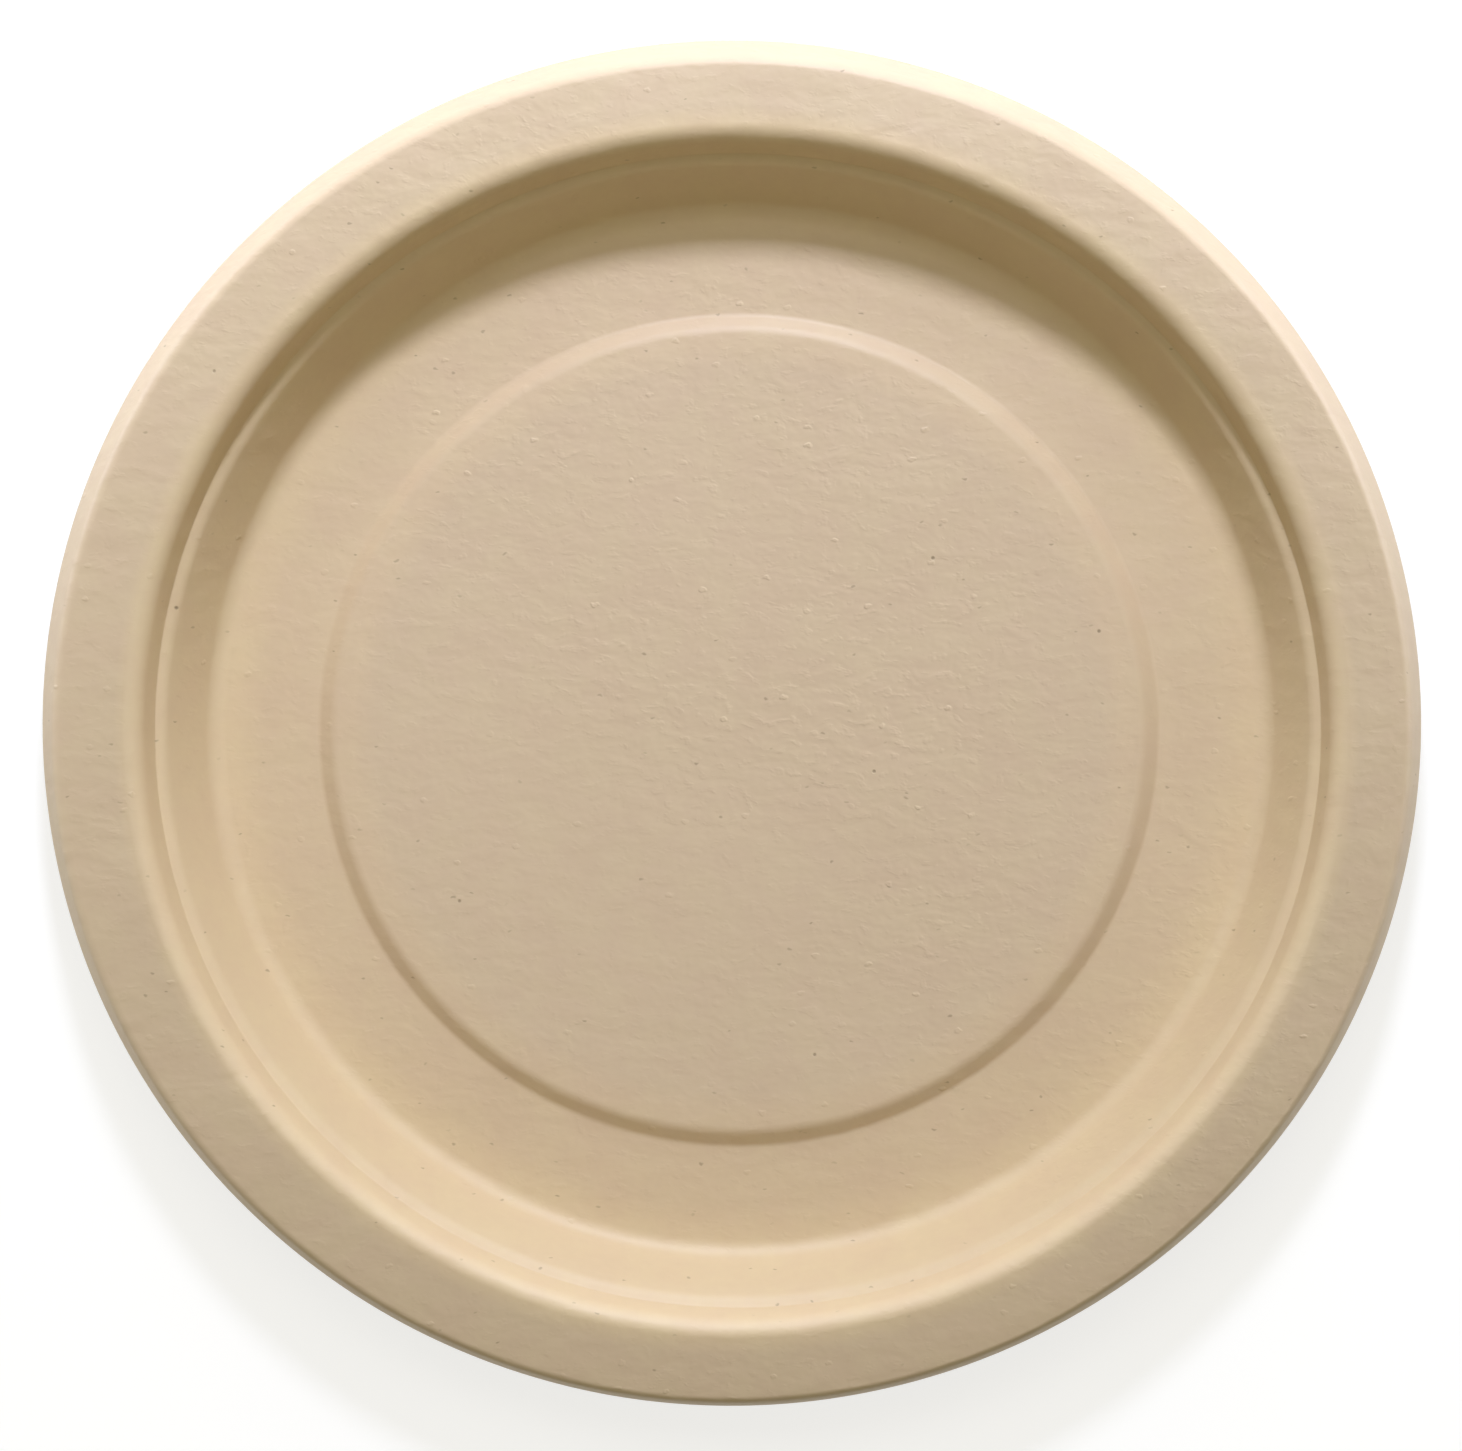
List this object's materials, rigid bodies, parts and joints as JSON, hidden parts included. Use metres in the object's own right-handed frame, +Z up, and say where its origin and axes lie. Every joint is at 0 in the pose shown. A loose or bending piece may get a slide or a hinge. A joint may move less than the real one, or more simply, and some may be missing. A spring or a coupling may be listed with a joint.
{
  "type": "moulded fibre plate",
  "caption": "Round disposable plate of moulded plant fibre, with a raised centre, a flat foot ring, a stacking ledge in its wall and a sloping rim with a turned-down lip.",
  "frame": {"origin": "centre of the foot ring, level with the surface that the plate stands on", "axes": "+Z up along the plate's axis, out of the well; X and Y are alike, because the plate is round"},
  "size_m": [0.2286, 0.2286, 0.0176],
  "materials": {
    "moulded_fibre": "matte"
  },
  "bodies": {
    "root": {"plate": "moulded_fibre"}
  },
  "joints": []
}
